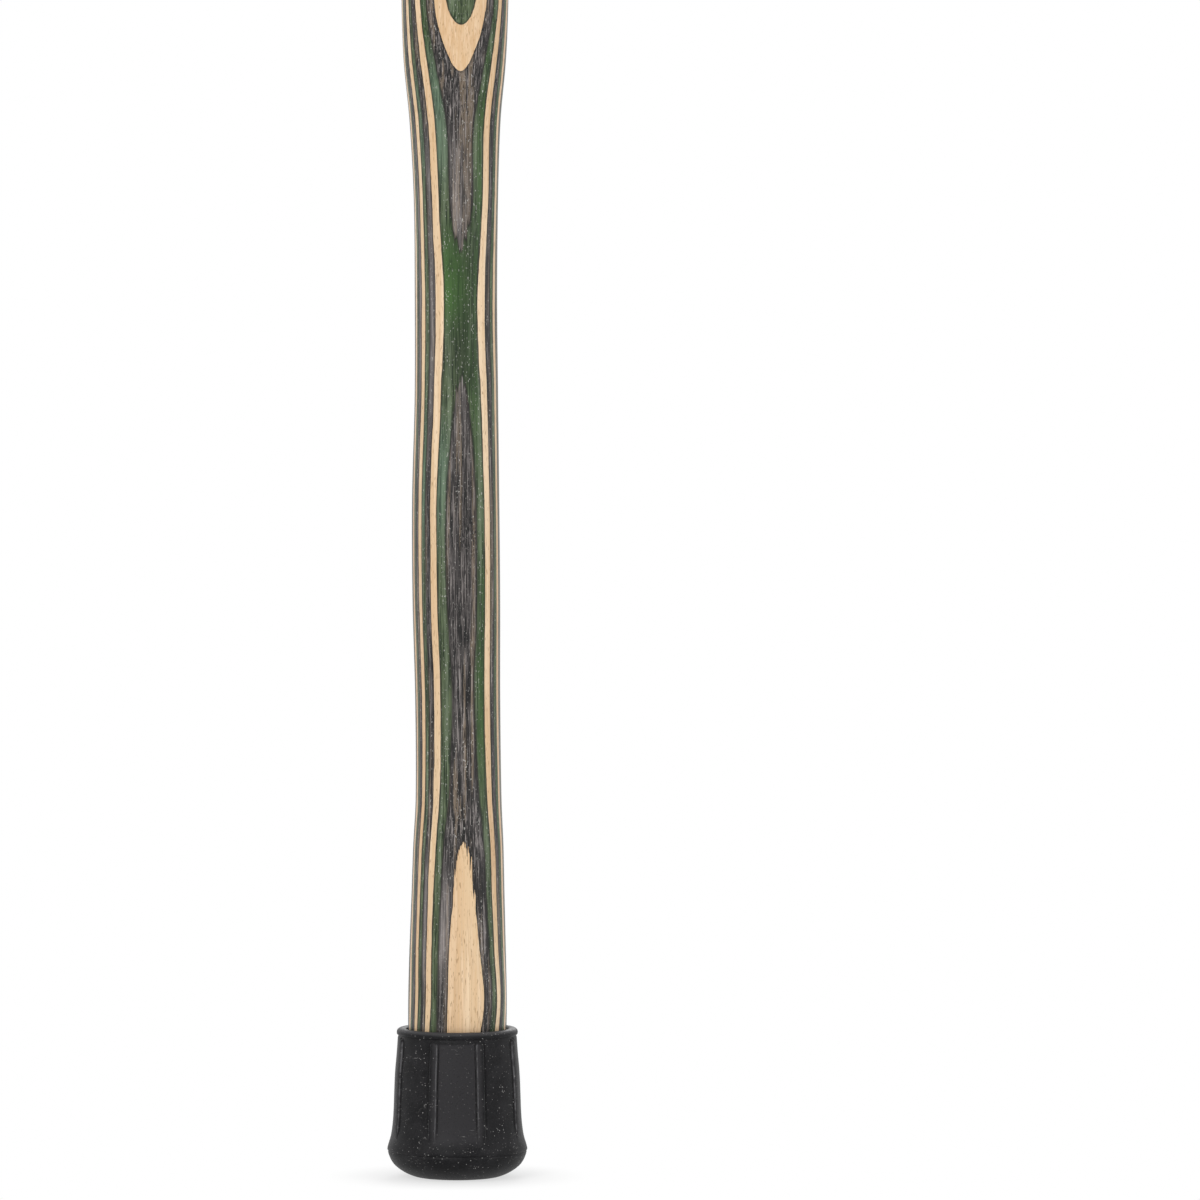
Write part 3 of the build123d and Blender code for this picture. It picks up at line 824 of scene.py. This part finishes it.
def rubberMaterial():
    material = bpy.data.materials.new("blackRubber")
    material.use_nodes = True
    tree = material.node_tree
    shader = tree.nodes["Principled BSDF"]
    coords = tree.nodes.new("ShaderNodeTexCoord")
    point = scaled(tree, coords.outputs["Object"], (1000, 1000, 1000))
    axes = tree.nodes.new("ShaderNodeSeparateXYZ")
    link(tree, point, axes.inputs[0])
    blotch = noise(tree, point, 0.22, 3.0, 0.55)
    skin = noise(tree, point, 3.2, 3.0, 0.6)

    # every second panel between the ribs is smooth and a little lighter, the others are grained
    angle = doMath(tree, "ARCTAN2", axes.outputs["Y"], axes.outputs["X"])
    first = math.pi / ferrule["ribs"] + math.radians(ferrule["turn"])
    wave = doMath(tree, "SINE", doMath(tree, "MULTIPLY", doMath(tree, "SUBTRACT", angle, first),
                                       ferrule["ribs"] / 2))
    cup = doMath(tree, "MULTIPLY", ramp(tree, axes.outputs["Z"], 9.0, 12.0),
                 ramp(tree, axes.outputs["Z"], 37.0, 37.6, 1.0, 0.0))
    smoothPanel = doMath(tree, "MULTIPLY", ramp(tree, wave, -0.15, 0.15, 1.0, 0.0), cup)
    base = mixColor(tree, smoothPanel, ferrule["rubber"], ferrule["panel"])
    base = mixColor(tree, ramp(tree, blotch, 0.4, 0.7, 0.0, 0.35), base, ferrule["panel"])
    base = mixColor(tree, ramp(tree, skin, 0.45, 0.65, 0.0, 0.4), base, ferrule["panel"])
    base = mixColor(tree, ramp(tree, skin, 0.3, 0.45, 0.5, 0.0), base, ferrule["dirtAndShade"])

    # the rim's top turns paler
    base = mixColor(tree, ramp(tree, axes.outputs["Z"], 39.4, 40.3, 0.0, 0.35), base, ferrule["wearAndHighlight"])
    # the ribs' edges are painted pale as a highlight, and the line beside them is painted dark as shade
    beyond = addNode(tree, "ShaderNodeAttribute", attribute_name="beyondRib").outputs["Fac"]
    fade = doMath(tree, "MULTIPLY", ramp(tree, axes.outputs["Z"], 10.5, 15.0), cup)
    fade = doMath(tree, "MULTIPLY", fade, ramp(tree, noise(tree, point, 0.5, 2.0), 0.35, 0.6, 0.3, 1.0))
    for middle, width, strength, tint in ((-0.1 * mm, 0.17 * mm, 0.8, "wearAndHighlight"), (0.3 * mm, 0.28 * mm, 0.9, "dirtAndShade")):
        edge = doMath(tree, "ABSOLUTE", doMath(tree, "SUBTRACT", beyond, middle))
        edge = doMath(tree, "MULTIPLY", ramp(tree, edge, 0.2 * width, width, strength, 0.0), fade)
        base = mixColor(tree, edge, base, ferrule[tint])

    # pale dust lies in the grain in specks, and a few scuffs run across
    cells = addNode(tree, "ShaderNodeTexVoronoi", Scale=1.35, Randomness=1.0)
    link(tree, point, cells.inputs["Vector"])
    chance = addNode(tree, "ShaderNodeTexWhiteNoise", noise_dimensions="3D")
    link(tree, cells.outputs["Position"], chance.inputs["Vector"])
    size = ramp(tree, chance.outputs["Value"], 0.45, 1.0, 0.1, 0.24, smooth=False)
    size = doMath(tree, "MULTIPLY", size, doMath(tree, "GREATER_THAN", chance.outputs["Value"], 0.45))
    dust = doMath(tree, "LESS_THAN", cells.outputs["Distance"], size)
    patches = ramp(tree, noise(tree, point, 0.16, 2.0), 0.38, 0.58, 0.35, 1.0)
    grained = doMath(tree, "MULTIPLY_ADD", smoothPanel, -0.75, 1.0)
    dust = doMath(tree, "MULTIPLY", dust, doMath(tree, "MULTIPLY", patches, grained))
    base = mixColor(tree, doMath(tree, "MULTIPLY", dust, 0.6), base, ferrule["dust"])
    scuff = noise(tree, scaled(tree, point, (0.7, 0.7, 2.2), (3, 0, 1)), 1.0, 4.0, 0.7, 0.8)
    scuff = doMath(tree, "MULTIPLY", ramp(tree, scuff, 0.6, 0.72),
                   ramp(tree, noise(tree, point, 0.12, 1.0), 0.5, 0.6))
    base = mixColor(tree, doMath(tree, "MULTIPLY", scuff, 0.4), base, ferrule["dust"])
    link(tree, base, shader.inputs["Base Color"])
    rough = doMath(tree, "MULTIPLY_ADD", skin, 0.2, doMath(tree, "MULTIPLY_ADD", dust, 0.3, 0.38))
    rough = doMath(tree, "ADD", rough, doMath(tree, "MULTIPLY", scuff, 0.2))
    link(tree, rough, shader.inputs["Roughness"])
    grit = doMath(tree, "MULTIPLY", skin, doMath(tree, "MULTIPLY_ADD", smoothPanel, -0.6, 1.0))
    bump = addNode(tree, "ShaderNodeBump", Strength=0.4, Distance=0.00012)
    link(tree, doMath(tree, "ADD", grit, doMath(tree, "MULTIPLY", dust, 0.8)), bump.inputs["Height"])
    link(tree, bump.outputs["Normal"], shader.inputs["Normal"])
    shader.inputs["Specular IOR Level"].default_value = 0.14
    return material


rubberLook = rubberMaterial()
profile, rows = profileObject()
host = bpy.data.objects.new("ferruleHost", bpy.data.meshes.new("ferruleHost"))
scene.collection.objects.link(host)
tree, sizes = ferruleTree(profile, rows, rubberLook)
modifier = host.modifiers.new("moulding", "NODES")
modifier.node_group = tree
for label, value in (("Sectors", ferrule["sectors"]), ("Rows", rows), ("Rib Count", ferrule["ribs"]),
                     ("First Rib Angle", math.pi / ferrule["ribs"] + math.radians(ferrule["turn"])),
                     ("Rib Width", ferrule["ribWidth"] * mm), ("Rib Height", ferrule["ribHeight"] * mm),
                     ("Rib Top", ferrule["ribTop"] * mm), ("Rib Foot", ferrule["ribFoot"] * mm),
                     ("Gutter Depth", ferrule["gutter"] * mm)):
    modifier[sizes[label]] = value
bpy.context.view_layer.update()
made = bpy.data.meshes.new_from_object(host.evaluated_get(bpy.context.evaluated_depsgraph_get()))
made.name = "rubberFerrule"
bpy.data.objects.remove(host)
bpy.data.objects.remove(profile)
edit = bmesh.new()
edit.from_mesh(made)
bmesh.ops.recalc_face_normals(edit, faces=edit.faces)
edit.to_mesh(made)
openEdges = sum(1 for e in edit.edges if len(e.link_faces) != 2)
edit.free()
body = bpy.data.objects.new("ferruleRubber", made)
scene.collection.objects.link(body)
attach(body, "ferrule")
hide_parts("rubber_ferrule")
print("ferrule moulded:", len(made.polygons), "faces,", openEdges, "open edges")


# steel washer under the staff's tip
washer = {"zinc": srgb(176, 178, 182), "dull": srgb(120, 120, 124)}


def zincMaterial():
    material = bpy.data.materials.new("zincPlate")
    material.use_nodes = True
    tree = material.node_tree
    shader = tree.nodes["Principled BSDF"]
    coords = tree.nodes.new("ShaderNodeTexCoord")
    point = scaled(tree, coords.outputs["Object"], (1000, 1000, 1000))
    cloud = noise(tree, point, 0.5, 4.0, 0.6)
    turning = noise(tree, scaled(tree, point, (0.3, 0.3, 9.0)), 3.0, 2.0)
    color = mixColor(tree, ramp(tree, cloud, 0.35, 0.65), washer["zinc"], washer["dull"])
    link(tree, color, shader.inputs["Base Color"])
    link(tree, doMath(tree, "MULTIPLY_ADD", turning, 0.25, 0.28), shader.inputs["Roughness"])
    shader.inputs["Metallic"].default_value = 1.0
    return material


steel = frame["nodes"]["ferrule_washer"]
if not steel.material_slots:
    steel.data.materials.append(None)
steel.material_slots[0].material = zincMaterial()
print("washer plated")


studio = {
    "floor": srgb(236, 236, 236),
    "worldLight": 0.62,
    "keyPower": 26.0,
    "fillPower": 9.0,
    "rearPower": 17.0,
    "pixel": 0.27,             # millimetres of staff per pixel of a 1200 pixel frame
    "distance": 4.2,
    "cameraHeight": 0.45,
    "side": -8.0,              # degrees round from the staff's front
    "axisPixel": 457.0,        # where the staff's axis stands in the frame
    "groundPixel": 1179.4,
}


def floorMaterial():
    material = bpy.data.materials.new("paleFloor")
    material.use_nodes = True
    tree = material.node_tree
    shader = tree.nodes["Principled BSDF"]
    shader.inputs["Roughness"].default_value = 0.85
    coords = tree.nodes.new("ShaderNodeTexCoord")
    mottling = noise(tree, coords.outputs["Object"], 3.0, 2.0)
    pale = studio["floor"]
    tone = mixColor(tree, mottling, pale, tuple(v * 0.98 for v in pale[:3]) + (1,))
    link(tree, tone, shader.inputs["Base Color"])
    # away from the staff the floor turns into the white backdrop
    length = tree.nodes.new("ShaderNodeVectorMath")
    length.operation = "LENGTH"
    link(tree, coords.outputs["Object"], length.inputs[0])
    far = ramp(tree, length.outputs["Value"], 0.018, 0.038, 0.65, 1.0)
    white = addNode(tree, "ShaderNodeEmission", Strength=1.0)
    white.inputs["Color"].default_value = (1, 1, 1, 1)
    path = tree.nodes.new("ShaderNodeLightPath")
    seen = doMath(tree, "MAXIMUM", path.outputs["Is Camera Ray"], path.outputs["Is Glossy Ray"])
    mix = tree.nodes.new("ShaderNodeMixShader")
    link(tree, doMath(tree, "MULTIPLY", far, seen), mix.inputs[0])
    link(tree, shader.outputs[0], mix.inputs[1])
    link(tree, white.outputs[0], mix.inputs[2])
    link(tree, mix.outputs[0], tree.nodes["Material Output"].inputs["Surface"])
    return material


floorMesh = bpy.data.meshes.new("floor")
floorMesh.from_pydata([(-3, -3, 0), (3, -3, 0), (3, 3, 0), (-3, 3, 0)], [], [(0, 1, 2, 3)])
floor = bpy.data.objects.new("floor", floorMesh)
floorMesh.materials.append(floorMaterial())
scene.collection.objects.link(floor)

world = bpy.data.worlds.new("studio")
scene.world = world
world.use_nodes = True
tree = world.node_tree
background = tree.nodes["Background"]
path = tree.nodes.new("ShaderNodeLightPath")
seen = doMath(tree, "MAXIMUM", path.outputs["Is Camera Ray"], path.outputs["Is Glossy Ray"])
seen = doMath(tree, "MAXIMUM", seen, path.outputs["Is Transmission Ray"])
background.inputs["Color"].default_value = (1, 1, 1, 1)
link(tree, doMath(tree, "MULTIPLY_ADD", seen, 1 - studio["worldLight"], studio["worldLight"]),
     background.inputs["Strength"])


def softBox(name, position, target, size, power):
    data = bpy.data.lights.new(name, "AREA")
    data.shape = "RECTANGLE"
    data.size, data.size_y = size
    data.energy = power
    lamp = bpy.data.objects.new(name, data)
    lamp.location = position
    lamp.rotation_euler = (Vector(target) - Vector(position)).to_track_quat("-Z", "Y").to_euler()
    scene.collection.objects.link(lamp)
    return lamp


softBox("key", (-1.2, -1.9, 1.5), (0, 0, 0.5), (0.9, 1.8), studio["keyPower"])
softBox("fill", (1.7, -1.3, 0.9), (0, 0, 0.5), (0.9, 1.8), studio["fillPower"])
softBox("rear", (0.6, 2.0, 1.4), (0, 0, 0.6), (1.0, 1.8), studio["rearPower"])

turn = math.radians(studio["side"])
ahead = Vector((-math.sin(turn), math.cos(turn), 0))
right = Vector((math.cos(turn), math.sin(turn), 0))
pixel = studio["pixel"] * mm
aim = right * (600 - studio["axisPixel"]) * pixel
aim.z = (studio["groundPixel"] - 600) * pixel
eye = aim - ahead * studio["distance"]
eye.z = studio["cameraHeight"]
cameraData = bpy.data.cameras.new("camera")
cameraData.sensor_fit = "HORIZONTAL"
cameraData.sensor_width = 36
cameraData.lens = 36 * (aim - eye).length / (1200 * pixel)
cameraData.clip_end = 50
camera = bpy.data.objects.new("camera", cameraData)
camera.location = eye
camera.rotation_euler = (aim - eye).to_track_quat("-Z", "Y").to_euler()
scene.collection.objects.link(camera)
scene.camera = camera
scene.view_settings.view_transform = "Standard"
print("studio set")
